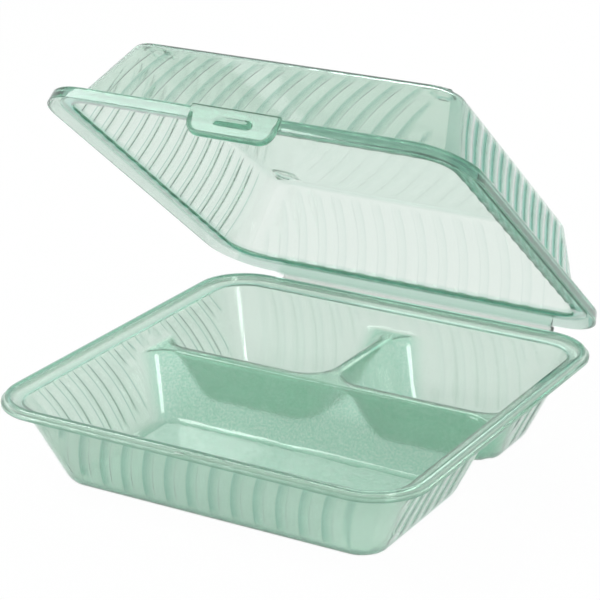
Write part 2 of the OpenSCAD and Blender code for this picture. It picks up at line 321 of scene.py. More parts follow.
def ridge_lines(lines, centre, before, after):
    """Gives a side fixed lines at a ridge's end, with set numbers before and after."""
    first = lines[lines < centre + RIDGE_MARKS[0] - 0.3]
    last = lines[lines > centre + RIDGE_MARKS[-1] + 0.3]
    crowded = min(12, before - len(first))
    first = refine(np.append(first, centre + RIDGE_MARKS[0]), centre - 8.5, centre, crowded)
    first = refine(first, centre - 45, centre - 9, before - len(first) + 1)[:-1]
    last = refine(last, centre, centre + 45, after - len(last))
    return np.concatenate([first, centre + RIDGE_MARKS, last])


# %% Rings
def follow_ridge(lines, centre):
    """How far each line leans: fully, but not at all where a ridge meets the wall."""
    away = lines - centre
    return np.where(away < 0, np.clip((-away - 5) / 3.5, 0, 1), np.clip((away - 5) / 20, 0, 1))


def side_places(lines, lean_share, half, radius, shift):
    """Places of a side's lines on a ring. Lines move sideways by shift, and those
    that would leave the flat are spread evenly to the corner's middle."""
    reach = half - radius + radius * math.pi / 4
    flat = min(half - radius, reach - 7)
    moved = lines + shift * lean_share
    inner = np.abs(lines) <= -lines[CORNER_LINES] + 0.01
    kept = np.flatnonzero(inner & (moved > -flat) & (moved < flat))
    low, high = kept[0], kept[-1]
    moved[:low] = np.interp(lines[:low], [lines[0], lines[low]], [-reach, moved[low]])
    moved[high + 1:] = np.interp(lines[high + 1:], [lines[high], lines[-1]], [moved[high], reach])
    return moved


def on_ring(along, half, radius):
    """A place along a side as a point: straight on the flat, then round the corner's arc."""
    over = np.abs(along) - (half - radius)
    angle = np.clip(over / max(radius, 1e-6), 0, math.pi / 4)
    x = np.where(over > 0, half - radius + radius * np.sin(angle), np.abs(along)) * np.sign(along)
    out = np.where(over > 0, half - radius + radius * np.cos(angle), half)
    return x, out


def turned(side, x, out):
    """Turns a point of the front side to side 0 to 3: front, right, back, left."""
    return [(x, -out), (out, x), (-x, out), (-out, -x)][side]


def ring_points(sides, shares, rows):
    """Points of every ring, row by row, and each point's place along its side.
    A row is its half width, corner radius, height and sideways shift."""
    points, places = [], []
    for half, radius, z, shift in rows:
        ring, row_places = [], []
        for side in range(4):
            along = side_places(sides[side], shares[side], half, radius, shift)[:-1]
            x, y = turned(side, *on_ring(along, half, radius))
            ring.append(np.stack([x, y, np.full_like(x, z)], axis=1))
            row_places.append(along)
        points.append(np.concatenate(ring))
        places.append(np.concatenate(row_places))
    return np.array(points), np.array(places)


# %% Middle patches and the closed skin
def patch_points(ring, counts):
    """The square patch inside a ring. Each line runs from its place on one side
    to its place on the opposite side, turning between them in the front third."""
    across, deep = counts
    starts = np.cumsum([0, across, deep, across, deep])
    loop = np.concatenate([ring, ring[:1]])
    front, right_side, rear, left_side = (loop[starts[i]:starts[i + 1] + 1] for i in range(4))
    rear, left_side = rear[::-1], left_side[::-1]
    v = np.interp(right_side[:, 1], [right_side[0, 1], -10, 12, right_side[-1, 1]], [0, 0.5, 1, 1])
    u = np.linspace(0, 1, across + 1)
    x = (1 - v)[None, :] * front[:, :1] + v[None, :] * rear[:, :1]
    y = (1 - u)[:, None] * left_side[None, :, 1] + u[:, None] * right_side[None, :, 1]
    return x, y


def grid_quads(grid, order=1):
    """Faces of a grid of point numbers, turned over where order is -1."""
    quads = np.stack([grid[:-1, :-1], grid[1:, :-1], grid[1:, 1:], grid[:-1, 1:]], axis=-1)
    return quads.reshape(-1, 4)[:, ::order]


def skin_faces(counts, rows):
    """Faces of a closed skin: the upper patch, the rings from it to the lower
    patch, and the lower patch turned over."""
    across, deep = counts
    columns = 2 * (across + deep)
    loop = np.arange(columns)
    inner = (across - 1) * (deep - 1)
    patches = []
    for first, start in ((0, rows * columns), ((rows - 1) * columns, rows * columns + inner)):
        grid = np.zeros((across + 1, deep + 1), int)
        grid[:-1, 0] = first + loop[:across]
        grid[-1, :-1] = first + loop[across:across + deep]
        grid[:0:-1, -1] = first + loop[across + deep:2 * across + deep]
        grid[0, :0:-1] = first + loop[2 * across + deep:]
        grid[1:-1, 1:-1] = start + np.arange(inner).reshape(across - 1, deep - 1)
        patches.append(grid)
    faces = [grid_quads(patches[0]), grid_quads(patches[1], -1)]
    index = np.arange(rows * columns).reshape(rows, columns)
    following = np.roll(index, -1, axis=1)
    rings = np.stack([index[:-1], index[1:], following[1:], following[:-1]], axis=-1)
    faces.append(rings.reshape(-1, 4))
    return np.concatenate(faces)


def rounded_profile(corners, reach, steps):
    """A profile through corner rows, each corner replaced by a short smooth curve
    (a quadratic Bezier) that starts and ends at most reach from it. Steps says
    how many stretches each curve has."""
    corners = np.array(corners, float)
    rows = [corners[:1]]
    for before, corner, after, count in zip(corners[:-2], corners[1:-1], corners[2:], steps):
        one, two = before - corner, after - corner
        one *= min(reach / np.linalg.norm(one), 0.42)
        two *= min(reach / np.linalg.norm(two), 0.42)
        t = np.linspace(0, 1, count + 1)[:, None]
        rows.append(corner + one * (1 - t) ** 2 + two * t ** 2)
    rows.append(corners[-1:])
    return np.concatenate(rows)


def smooth(share):
    """A smooth step from 0 to 1."""
    return share * share * (3 - 2 * share)


def smooth_max(a, b, width):
    """The larger of two heights, with a round fillet where they are close."""
    near = np.maximum(width - np.abs(a - b), 0) / width
    return np.maximum(a, b) + near * near * width / 4


def smooth_min(a, b, width):
    """The smaller of two heights, with a round edge where they are close."""
    return -smooth_max(-a, -b, width)


# %% [markdown]
# ## Ribs
#
# A rib stands half a millimetre proud of its wall, outside and inside alike,
# because the wall is pressed out with it. Its right edge is crisp and its left
# edge soft, and its ends are rounded. It is left off where it would run into a
# rounded corner or a divider.


# %% Rib pattern
SHORTEST_RIB, FLAT_MARGIN, STEP_UP = 3, 1.5, 0.25


def rib_extents(shift, bend, flats, gap):
    """Lowest and highest place of each rib, found by walking up every rib and
    keeping the heights at which it lies on its wall's flat, clear of a divider."""
    heights = np.arange(flats[1], flats[3], STEP_UP)
    left = shift + RIB_PITCH * RIB_COUNTS[:, None] - RIB_WIDTH / 2 + lean(bend, heights)[None, :]
    right_edge = left + RIB_WIDTH
    flat = np.interp(heights, [flats[1], flats[3]], [flats[0], flats[2]]) + FLAT_MARGIN
    up = heights / gap[4]
    before = right_edge < gap[0] + (gap[2] - gap[0]) * up
    beyond = left > gap[1] + (gap[3] - gap[1]) * up
    clear = (up > 1) | before | beyond
    lies = (left > -flat) & (right_edge < flat) & clear
    low = np.where(lies.any(axis=1), heights[lies.argmax(axis=1)], 0)
    high = np.where(lies.any(axis=1), heights[len(heights) - 1 - lies[:, ::-1].argmax(axis=1)], -10)
    short = high - low < SHORTEST_RIB
    return np.where(short, 0, low), np.where(short, -10, high)


def nearest_rib(along, h, shift, bend, extents):
    """A place measured from the rib pattern's start, and the number and the lowest
    and highest place of the nearest rib."""
    place = along - shift - lean(bend, h)
    count = np.clip(np.round(place / RIB_PITCH), -RIB_REACH, RIB_REACH).astype(int)
    return place, count, extents[0][count + RIB_REACH], extents[1][count + RIB_REACH]


SOFT_EDGE, CRISP_EDGE, LOWER_END, UPPER_END = 1.0, 0.9, 2.0, 1.6


def rib_height(along, h, shift, bend, extents):
    """Height of the ribs at a place along a wall and a distance up it: the least
    of the distances to the two edges and the two ends, each over its own width."""
    place, count, low, high = nearest_rib(along, h, shift, bend, extents)
    off = place - count * RIB_PITCH
    crisp = (RIB_WIDTH / 2 - off) / CRISP_EDGE + 0.5
    soft = (off + RIB_WIDTH / 2) / SOFT_EDGE + 0.5
    lower, upper = (h - low) / LOWER_END, (high - h) / UPPER_END
    inside = np.clip(np.minimum(smooth_min(soft, lower, 0.8), smooth_min(crisp, upper, 0.5)), 0, 1)
    return RIB_RELIEF * smooth(inside)


CRISP_LINE, SOFT_LINE, SOFT_DEPTH, FADE = 0.45, 0.5, 0.7, 2


def painted_rib_shade(along, h, shift, bend, extents, band, line, ground):
    """Painted shade over a wall, in deeper green: a band of shade beside each crisp
    edge that fades to the next rib, and a fine dark line painted on both edges."""
    place, _, low, high = nearest_rib(along, h, shift, bend, extents)
    past = np.mod(place - RIB_WIDTH / 2, RIB_PITCH)
    gap = RIB_PITCH - RIB_WIDTH
    bands = np.where(past < gap, 1 - 0.8 * past / gap, 0)
    crisp = 1 - np.minimum(past, RIB_PITCH - past) / CRISP_LINE
    soft = SOFT_DEPTH * (1 - np.abs(past - gap) / SOFT_LINE)
    lines = np.maximum(crisp, soft)
    there = np.clip((h - low) / FADE, 0, 1) * np.clip((high - h) / FADE, 0, 1)
    return there * np.maximum(band * bands, line * np.maximum(lines, 0)) + ground


# Band, line and ground of the front, right, back and left wall. They were set wall by
# wall against the photograph, which looks along the lid's right wall from outside and
# along its left wall from inside. So these two are painted stronger than the others.
# Each triple is a strength of painted shade: a band beside the crisp edges, dark lines on the edges,
# and an even shade over the whole wall.
TRAY_RIB_SHADES = ((0.45, 0.45, 0.2), (0.7, 0.7, 0.12), (0.5, 0.5, 0.16), (0.6, 0.6, 0.16))
LID_RIB_SHADES = ((0.5, 0.45, 0.04), (1.6, 1.2, 0.5), (0.5, 0.5, 0), (0.6, 0.6, 0))
INNER_RIB_SHADES = ((0.05, 0.3, 0), (0.05, 0.3, 0), (0.03, 0.1, 0), (0.05, 0.85, 0))


# %% [markdown]
# ## The tray
#
# The cups are pockets with leaning walls and filleted floors, and the ridges
# between them are hollow from below. So the inner and the outer face are the
# same height field, worked out twice: the outer one is a wall's thickness larger
# all round and a wall's thickness lower.


# %% Height of the tray's faces
def box_distance(x, y, box, radius):
    """Distance from a point to the outline of a rounded box, less than 0 inside."""
    middle_x, middle_y = (box[0] + box[1]) / 2, (box[2] + box[3]) / 2
    qx = np.abs(x - middle_x) - ((box[1] - box[0]) / 2 - radius)
    qy = np.abs(y - middle_y) - ((box[3] - box[2]) / 2 - radius)
    return np.hypot(np.maximum(qx, 0), np.maximum(qy, 0)) + np.minimum(np.maximum(qx, qy), 0) - radius


def drafted_height(x, y, box, grow):
    """Height at which a leaning wall passes over a point. The wall's outline at a
    height is the box drawn in by the slope, so the height is found by stepping up
    by the remaining distance until the outline meets the point."""
    z = np.full(np.shape(x), RIDGE_TOP)
    for _ in range(14):
        inset = TRAY_SLOPE * (RIDGE_TOP - z)
        radius = np.maximum(tray_corner(z), 2) + grow
        drawn = (box[0] + inset, box[1] - inset, box[2] + inset, box[3] - inset)
        z = z + box_distance(x, y, drawn, radius) / TRAY_SLOPE
    return z


def tray_height(x, y, grow, floor_z, ridge_z, fillet):
    """Height of the tray's inner or outer face: the highest of the floor, the
    outer wall and the ridges, where a ridge is cut off flat at its top. Also says
    how far a point is from the outer wall, which has no grain."""
    half = tray_inside(RIDGE_TOP) + grow
    front, rear = RIDGE_Y - RIDGE_WIDTH / 2 + grow, RIDGE_Y + RIDGE_WIDTH / 2 - grow
    side = REAR_RIDGE_WIDTH / 2 - grow
    wall = drafted_height(x, y, (-half, half, -half, half), grow)
    cups = [(-half, half, -half, front), (side, half, rear, half), (-half, -side, rear, half)]
    pocket = np.min([drafted_height(x, y, box, grow) for box in cups], axis=0)
    pocket = smooth_max(pocket, floor_z, fillet)
    ridge = smooth_min(pocket, ridge_z, 2.2)
    return smooth_max(wall, ridge, 0.6), (ridge - wall) / 8


# %% Lines and rings of the tray
TRAY_RISE = FLANGE_TOP / math.cos(TRAY_DRAFT)
TRAY_LEAN = float(lean(TRAY_BEND, TRAY_RISE))
tray_edge = TRAY_SHIFT + RIB_WIDTH / 2 + TRAY_LEAN
tray_base = rib_lines(tray_edge, CORNER_MIDDLE)
CENTRES = (None, RIDGE_Y, 0.0, -RIDGE_Y)


def count_round(centre):
    """Numbers of plain lines before and after a ridge's end."""
    first = int((tray_base < centre + RIDGE_MARKS[0] - 0.3).sum())
    last = int((tray_base > centre + RIDGE_MARKS[-1] + 0.3).sum())
    return first, last


front_of_ridge = max(count_round(RIDGE_Y)[0] + 12, count_round(-RIDGE_Y)[1])
rear_of_ridge = max(count_round(-RIDGE_Y)[0] + 12, count_round(RIDGE_Y)[1])
tray_right = ridge_lines(tray_base, RIDGE_Y, front_of_ridge, rear_of_ridge)
tray_left = ridge_lines(tray_base, -RIDGE_Y, rear_of_ridge, front_of_ridge)
tray_back = ridge_lines(tray_base, 0.0, count_round(0.0)[0] + 12, count_round(0.0)[1])
tray_front = refine(tray_base, -60, 60, len(tray_back) - len(tray_base))
tray_sides = [tray_front, tray_right, tray_back, tray_left]
tray_shares = [np.ones(len(tray_front))] + [follow_ridge(tray_sides[i], CENTRES[i]) for i in (1, 2, 3)]
tray_counts = (len(tray_front) - 1, len(tray_right) - 1)
print("tray lines:", [len(lines) for lines in tray_sides])


def tray_shift(z):
    """Sideways shift of the lines at a height: none at the rim, and back down the ribs."""
    return float(lean(TRAY_BEND, np.clip(z, 0, FLANGE_TOP) / math.cos(TRAY_DRAFT))) - TRAY_LEAN


FLOOR_PATCH = 80.0


def tray_wall_rows(skin, top):
    """Rings from the square patch over the floor's edge and up a wall."""
    rows = [(FLOOR_PATCH, 0.0, 0.0, tray_shift(0))]
    at_foot, at_ridge = [-4.5, -2.2, 0.0, 1.2, 2.4, 3.6, 5.0], [-1, 0.4, 2.2, 4.4]
    heights = np.concatenate([at_foot, np.linspace(7.4, RIDGE_TOP - 2.6, 9),
                              [RIDGE_TOP + step for step in at_ridge], [top]])
    for z in heights:
        radius = max(min(tray_corner(z), FLOOR_RADIUS * (z + 9) / 9), 5)
        rows.append((tray_inside(z) + skin, radius + skin, z, tray_shift(z)))
    return rows


def rim_row(half, z):
    """A ring of the rim, whose corners share one middle."""
    return (half, half - CORNER_MIDDLE, z, 0.0)


inner_rows = tray_wall_rows(0.0, FLANGE_TOP - 1.5)
BEAD_INNER, LIP_LOW = BEAD_HALF - BEAD_WIDTH, LEDGE_TOP - LIP_THICK
rim_corners = [inner_rows[-1][:3] + (0.0,)] + [rim_row(half, z) for half, z in (
    (MOUTH_HALF, FLANGE_TOP), (BEAD_INNER, FLANGE_TOP),
    (BEAD_INNER + 0.9, BEAD_TOP - 0.7), (BEAD_INNER + 1.7, BEAD_TOP),
    (BEAD_HALF - 0.7, BEAD_TOP), (BEAD_HALF - 0.1, BEAD_TOP - 0.8),
    (BEAD_HALF, LEDGE_TOP), (LIP_HALF, LEDGE_TOP),
    (LIP_HALF, LIP_LOW), (BEAD_HALF, LIP_LOW),
    (BEAD_HALF, FLANGE_LOW), (BEAD_HALF - WALL, FLANGE_LOW),
    (BEAD_HALF - WALL, BEAD_TOP - WALL), (BEAD_INNER + WALL, BEAD_TOP - WALL),
    (BEAD_INNER + WALL, FLANGE_LOW), (tray_inside(FLANGE_LOW) + TRAY_SKIN, FLANGE_LOW))]
outer_rows = tray_wall_rows(TRAY_SKIN, FLANGE_LOW - 1.2)[::-1]
rim_steps = [2, 2, 1, 1, 1, 1, 2, 2, 2] + [1] * 7
rim_rows = rounded_profile(rim_corners + [outer_rows[0][:3] + (0.0,)], 0.4, rim_steps)[1:-1]
rim_rows[0][3] = tray_shift(FLANGE_TOP - 1)
tray_rows = inner_rows + [tuple(row) for row in rim_rows] + outer_rows
print("tray rings:", len(tray_rows))

# %% Shape of the tray
tray_rings, tray_places = ring_points(tray_sides, tray_shares, tray_rows)
tray_flats = [tray_inside(0) + TRAY_SKIN - FLOOR_RADIUS, 4.8 / math.cos(TRAY_DRAFT),
              tray_inside(FLANGE_LOW) + TRAY_SKIN - MOUTH_RADIUS, 43.2 / math.cos(TRAY_DRAFT)]
wall_radius = tray_corner(RIDGE_TOP)
divider_foot = TRAY_SLOPE * RIDGE_TOP - wall_radius + FLOOR_RADIUS
divider_top = (RIDGE_TOP + 1.2) / math.cos(TRAY_DRAFT)
low_y, high_y = RIDGE_Y - RIDGE_WIDTH / 2 - wall_radius, RIDGE_Y + RIDGE_WIDTH / 2 + wall_radius
half_x = REAR_RIDGE_WIDTH / 2 + wall_radius
tray_gaps = [(0, 0, 0, 0, 0.1),
             (low_y - divider_foot, high_y + divider_foot, low_y, high_y, divider_top),
             (-half_x - divider_foot, half_x + divider_foot, -half_x, half_x, divider_top),
             (-high_y - divider_foot, divider_foot - low_y, -high_y, -low_y, divider_top)]
side_starts = np.cumsum([0, tray_counts[0], tray_counts[1], tray_counts[0], tray_counts[1]])
OUTWARD = np.array([[0, -1], [1, 0], [0, 1], [-1, 0]], float)

FOOT_SHADE, FOOT_SHADE_REACH = 0.8, 12
inner_count, outer_start = len(inner_rows), len(tray_rows) - len(outer_rows)
faces_of_wall = ((slice(0, inner_count), (0.0, WALL, RIDGE_TOP, 4.5)),
                 (slice(outer_start, len(tray_rows)), (TRAY_SKIN, 0.0, RIDGE_TOP - WALL, 6.0)))
tray_painted_shade, tray_frost = np.zeros(tray_places.shape), np.zeros(tray_places.shape)
for rows, (grow, floor_z, ridge_z, fillet) in faces_of_wall:
    ring = tray_rings[rows]
    x, y = ring[:, :, 0], ring[:, :, 1]
    ring[:, :, 2], tray_frost[rows] = tray_height(x, y, grow, floor_z, ridge_z, fillet)
    if grow > 0:
        # Painted shade: the outer face turns darker green towards its foot.
        tray_painted_shade[rows] = FOOT_SHADE * np.clip(1 - ring[:, :, 2] / FOOT_SHADE_REACH, 0, 1) ** 1.5
    for side in range(4):
        part = slice(side_starts[side], side_starts[side + 1])
        low_ends, high_ends = rib_extents(TRAY_SHIFT, TRAY_BEND, tray_flats, tray_gaps[side])
        extents = (low_ends, np.where(high_ends > TRAY_RISE - 1, 99, high_ends))
        h = np.clip(ring[:, part, 2], 0, FLANGE_TOP) / math.cos(TRAY_DRAFT)
        along = tray_places[rows][:, part]
        rise = rib_height(along, h, TRAY_SHIFT, TRAY_BEND, extents)
        ring[:, part, :2] += (rise / math.cos(TRAY_DRAFT))[:, :, None] * OUTWARD[side]
        # Painted shade: a band beside each rib's crisp edge and dark lines on its edges.
        rib_shade = painted_rib_shade(along, h, TRAY_SHIFT, TRAY_BEND, extents,
                        *(TRAY_RIB_SHADES if grow > 0 else INNER_RIB_SHADES)[side])
        tray_painted_shade[rows, part] = np.maximum(tray_painted_shade[rows, part], rib_shade)


def window(along, half, edge):
    """1 on a stretch round 0 and 0 beyond it, with a short even ramp."""
    return np.clip((half - np.abs(along)) / edge + 0.5, 0, 1)


def is_row(rows, half_low, half_high, z_low, z_high):
    """Which rows of a profile lie between two half widths and two heights."""
    half, z = np.array(rows)[:, 0], np.array(rows)[:, 2]
    return np.flatnonzero((half > half_low) & (half < half_high) & (z > z_low) & (z < z_high))


leaf_rows = is_row(tray_rows, LIP_HALF - 0.15, LIP_HALF + 1, LEDGE_TOP - 0.5, LEDGE_TOP + 0.1)
back_part = slice(side_starts[2], side_starts[3])
for row in leaf_rows:
    beside = window(tray_places[row, back_part], HINGE_LENGTH / 2, 0.5)
    tray_rings[row, back_part, 1] += LEAF_DEPTH * beside
catch_rows = is_row(tray_rows, BEAD_HALF + 0.05, LIP_HALF + 1, LEDGE_TOP - 0.05, LEDGE_TOP + 0.1)
front_part = slice(0, side_starts[1])
for row in catch_rows:
    beside = window(tray_places[row, front_part], CATCH_WIDTH / 2, 0.6)
    tray_rings[row, front_part, 2] += CATCH_RISE * beside


def row_painted_shade(rows, places):
    """Painted shade in deeper green on each ring of a rim: full on rings at the named
    half widths and heights, and fading over a reach."""
    rows = np.array(rows)
    deep = np.zeros(len(rows))
    for half, z, reach, strength in places:
        away = np.hypot(rows[:, 0] - half, rows[:, 2] - z)
        deep = np.maximum(deep, strength * np.clip(1 - away / reach, 0, 1))
    return deep[:, None]


# Painted shade along the rim's edges: the mouth, the bead's top, the ledge's edge and the lip's lower
# edge.
tray_painted_shade = np.maximum(tray_painted_shade, row_painted_shade(tray_rows, [
    (MOUTH_HALF, FLANGE_TOP, 0.9, 0.8), (BEAD_HALF - BEAD_WIDTH / 2, BEAD_TOP, 2.6, 1.0),
    (BEAD_HALF, LEDGE_TOP, 1.2, 0.4), (LIP_HALF, LIP_LOW, 2.0, 0.8)]))
tray_faces = skin_faces(tray_counts, len(tray_rows))
tray_points, tray_frosts = [tray_rings.reshape(-1, 3)], [tray_frost.ravel()]
for row, (grow, floor_z, ridge_z, fillet) in ((0, faces_of_wall[0][1]), (-1, faces_of_wall[1][1])):
    x, y = patch_points(tray_rings[row], tray_counts)
    x, y = x[1:-1, 1:-1], y[1:-1, 1:-1]
    z, frost = tray_height(x, y, grow, floor_z, ridge_z, fillet)
    tray_points.append(np.stack([x, y, z], axis=-1).reshape(-1, 3))
    tray_frosts.append(frost.ravel())
tray = surface_object("tray_shell", np.concatenate(tray_points) * MM, tray_faces)
tray.data.shade_smooth()
patch_size = tray_points[1].shape[0] + tray_points[2].shape[0]
# The painted shade is kept in the point attribute deep.
paint(tray, "deep", np.concatenate([tray_painted_shade.ravel(), np.zeros(patch_size)]))
paint(tray, "frost", np.concatenate(tray_frosts))
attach(tray, "tray")
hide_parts("tray")
print("tray faces:", len(tray_faces))

# %% [markdown]
# ## The lid
#
# The lid is the same kind of skin, worked out closed. Its patch is the top panel
# with four round nubs, hollow from below. Its rim is a stepped flange with a
# groove that takes the tray's bead, and a band that hangs over the ledge.

# %% Lines and rings of the lid
lid_base = rib_lines(LID_SHIFT + RIB_WIDTH / 2, LID_MOUTH_HALF - LID_RADIUS)
lid_sides = [lid_base] * 4
lid_shares = [np.ones(len(lid_base))] * 4
lid_counts = (len(lid_base) - 1, len(lid_base) - 1)
LID_FOOT = LID_MOUTH + WALL
PANEL_PATCH = 83.0


def lid_shift(z):
    """Sideways shift of the lines at a height: none at the rim, and up along the ribs."""
    return float(lean(LID_BEND, max(z - LID_FOOT, 0) / math.cos(LID_DRAFT)))


def lid_wall_rows(skin, top, fillet, radius_foot, radius_top, foot):
    """Rings from the panel over its fillet and down a wall."""
    rows = [(PANEL_PATCH, 0.0, top, lid_shift(top))]
    tangent = top - fillet * (1 - math.sin(LID_DRAFT))
    for turn in np.linspace(0, math.pi / 2 - LID_DRAFT, 5):
        inset = fillet * (math.cos(LID_DRAFT) - math.sin(turn))
        z = top - fillet * (1 - math.cos(turn))
        rows.append((lid_inside(tangent) + skin - inset, radius_top, z, lid_shift(z)))
    for z in np.linspace(tangent, foot, 14)[1:]:
        share = (tangent - z) / (tangent - foot)
        radius = radius_top + (radius_foot - radius_top) * share
        rows.append((lid_inside(z) + skin, radius, z, lid_shift(z)))
    return rows


def band_row(half, z):
    """A ring of the lid's rim, whose corners share one middle."""
    return (half, half - (LIP_HALF - LID_LIP_RADIUS), z, 0.0)


roof_rows = lid_wall_rows(LID_SKIN, LID_TOP, PANEL_FILLET + WALL, LID_RADIUS + LID_SKIN,
                          LID_RADIUS, LID_FOOT + 1.2)
hollow_rows = lid_wall_rows(0.0, LID_TOP - WALL, PANEL_FILLET, LID_RADIUS,
                            LID_RADIUS - LID_SKIN, LID_MOUTH + 1.0)[::-1]
BAND_HALF = LIP_HALF - BAND_LEAN
rim_outline = [band_row(half, z) for half, z in (
    (STEP_HALF - WALL, LID_FOOT), (STEP_HALF - WALL, BAND_TOP),
    (BAND_HALF - 0.6, BAND_TOP), (BAND_HALF, BAND_TOP - 0.7),
    (LIP_HALF, LID_LIP), (LIP_HALF - 1, LID_LIP),
    (BAND_HALF - WALL, BAND_TOP - WALL), (STEP_HALF, BAND_TOP - WALL), (STEP_HALF, LID_MOUTH))]
lid_corners = [roof_rows[-1][:3] + (0.0,),
               (lid_inside(LID_FOOT) + LID_SKIN, LID_RADIUS + LID_SKIN, LID_FOOT, 0.0),
               *rim_outline, (LID_MOUTH_HALF, LID_RADIUS, LID_MOUTH, 0.0), hollow_rows[0][:3] + (0.0,)]
lid_rim_rows = rounded_profile(lid_corners, 0.45, [3] * (len(lid_corners) - 2))[1:-1]
lid_rows = roof_rows + [tuple(row) for row in lid_rim_rows] + hollow_rows
print("lid lines:", len(lid_base), "rings:", len(lid_rows))

# %% Shape of the lid
lid_rings, lid_places = ring_points(lid_sides, lid_shares, lid_rows)
lid_flats = [lid_inside(LID_FOOT) + LID_SKIN - LID_RADIUS, 0.0,
             lid_inside(LID_TOP) + LID_SKIN - LID_RADIUS,
             (LID_TOP - PANEL_FILLET - 0.6 - LID_FOOT) / math.cos(LID_DRAFT)]
low_ends, high_ends = rib_extents(LID_SHIFT, LID_BEND, lid_flats, (0, 0, 0, 0, 0.1))
lid_extents = (np.where(low_ends < 1, -9, low_ends), high_ends)
lid_starts = np.arange(5) * lid_counts[0]
lid_walls = (slice(0, len(roof_rows)), slice(len(lid_rows) - len(hollow_rows) - 4, len(lid_rows)))
lid_painted_shade = np.zeros(lid_places.shape)
for rows, rib_shades in zip(lid_walls, (LID_RIB_SHADES, INNER_RIB_SHADES)):
    ring = lid_rings[rows]
    for side in range(4):
        part = slice(lid_starts[side], lid_starts[side + 1])
        h = np.clip(ring[:, part, 2] - LID_FOOT, 0, None) / math.cos(LID_DRAFT)
        along = lid_places[rows][:, part]
        rise = rib_height(along, h, LID_SHIFT, LID_BEND, lid_extents)
        ring[:, part, :2] += (rise / math.cos(LID_DRAFT))[:, :, None] * OUTWARD[side]
        # Painted shade of the ribs, wall by wall.
        lid_painted_shade[rows, part] = painted_rib_shade(along, h, LID_SHIFT, LID_BEND, lid_extents, *rib_shades[side])


def nub_height(x, y, radius):
    """Height of the four round nubs: a flat disc with a short leaning edge."""
    away = np.hypot(np.abs(x) - NUB_PLACE, np.abs(y) - NUB_PLACE)
    edge = np.clip((radius - away) / 1.2 + 0.5, 0, 1)
    return NUB_RISE * smooth(edge)


lid_leaf_rows = is_row(lid_rows, LIP_HALF - 0.5, LIP_HALF + 1, LID_LIP - 0.1, LID_LIP + LEAF_THICK)
back_part = slice(lid_starts[2], lid_starts[3])
for row in lid_leaf_rows:
    beside = window(lid_places[row, back_part], HINGE_LENGTH / 2, 0.5)
    lid_rings[row, back_part, 1] += LEAF_DEPTH * beside

# The tray's catch fits into a notch in the band's lower edge
NOTCH_ROOM, NOTCH_GAP = 2.5, 0.15
front_part = slice(lid_starts[0], lid_starts[1])
for row in is_row(lid_rows, LIP_HALF - 1.6, LIP_HALF + 1, LID_LIP - 0.1, LID_LIP + 0.6):
    beside = window(lid_places[row, front_part], CATCH_WIDTH / 2 + NOTCH_ROOM, 0.6)
    lid_rings[row, front_part, 2] += (CATCH_RISE + NOTCH_GAP) * beside


def opened(points):
    """Turns points of the closed lid open about the hinge line."""
    y, z = points[..., 1] - HINGE_Y, points[..., 2] - HINGE_Z
    turned_y = HINGE_Y + y * math.cos(OPEN) + z * math.sin(OPEN)
    turned_z = HINGE_Z - y * math.sin(OPEN) + z * math.cos(OPEN)
    return np.stack([points[..., 0], turned_y, turned_z], axis=-1)


# Painted shade in deeper green along the lid rim's edges: the band's top, the lip, the mouth and the
# step's foot.
lid_painted_shade = np.maximum(lid_painted_shade, row_painted_shade(lid_rows, [
    (BAND_HALF, BAND_TOP, 1.6, 1.0), (LIP_HALF, LID_LIP, 1.5, 0.8),
    (LID_MOUTH_HALF, LID_MOUTH, 2.0, 1.2), (STEP_HALF, LID_MOUTH, 1.2, 0.8)]))
# Painted shade over the band, strong on the front and right, less at the back and least on the left.
band = row_painted_shade(lid_rows, [(LIP_HALF - BAND_LEAN / 2, (BAND_TOP + LID_LIP) / 2, 9, 1.1)])
for side, share in enumerate((0.8, 1.0, 0.5, 0.15)):
    part = slice(lid_starts[side], lid_starts[side + 1])
    lid_painted_shade[:, part] = np.maximum(lid_painted_shade[:, part], share * band)
# Painted shade along the top panel's outer edge.
lid_painted_shade[:len(roof_rows)] = np.maximum(lid_painted_shade[:len(roof_rows)], row_painted_shade(roof_rows, [
    (lid_inside(LID_TOP) + LID_SKIN - 1.5, LID_TOP - 1, 3.5, 1.2)]))
lid_faces = skin_faces(lid_counts, len(lid_rows))
lid_points, lid_painted_shades = [lid_rings.reshape(-1, 3)], [lid_painted_shade.ravel()]
for row, radius, z in ((0, NUB_RADIUS, LID_TOP), (-1, NUB_RADIUS - WALL, LID_TOP - WALL)):
    x, y = patch_points(lid_rings[row], lid_counts)
    x, y = x[1:-1, 1:-1], y[1:-1, 1:-1]
    lid_points.append(np.stack([x, y, z + nub_height(x, y, radius)], axis=-1).reshape(-1, 3))
    away = np.hypot(np.abs(x) - NUB_PLACE, np.abs(y) - NUB_PLACE)
    # A ring of painted shade round each nub's edge, stronger on the half where x is greater than y.
    lid_painted_shades.append(np.where(x > y, 1.2, 0.6).ravel() - np.abs(away - radius).ravel() / 1.2)
lid = surface_object("lid_shell", opened(np.concatenate(lid_points)) * MM, lid_faces)
lid.data.shade_smooth()
paint(lid, "deep", np.concatenate(lid_painted_shades))
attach(lid, "lid")
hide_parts("lid")
print("lid faces:", len(lid_faces))

# %% [markdown]
# ## The latch tab
#
# The tab hangs from the middle of the band and snaps over the tray's lip. It is
# a thin plate with round lower corners, a raised bead along its edge and a grip
# bar. The plate is a grid whose width narrows along the corners' arcs, and the
# bead and the bar are heights over it.

# %% Shape of the tab
TAB_WIDTH, TAB_DROP, TAB_RADIUS, TAB_GAP = 47.0, 15.0, 8.0, 0.35
GRIP_LENGTH, GRIP_HEIGHT, GRIP_RISE = 19.0, 3.0, 0.8
GRIP_SHARE, TAB_EDGE = 0.4, 0.5


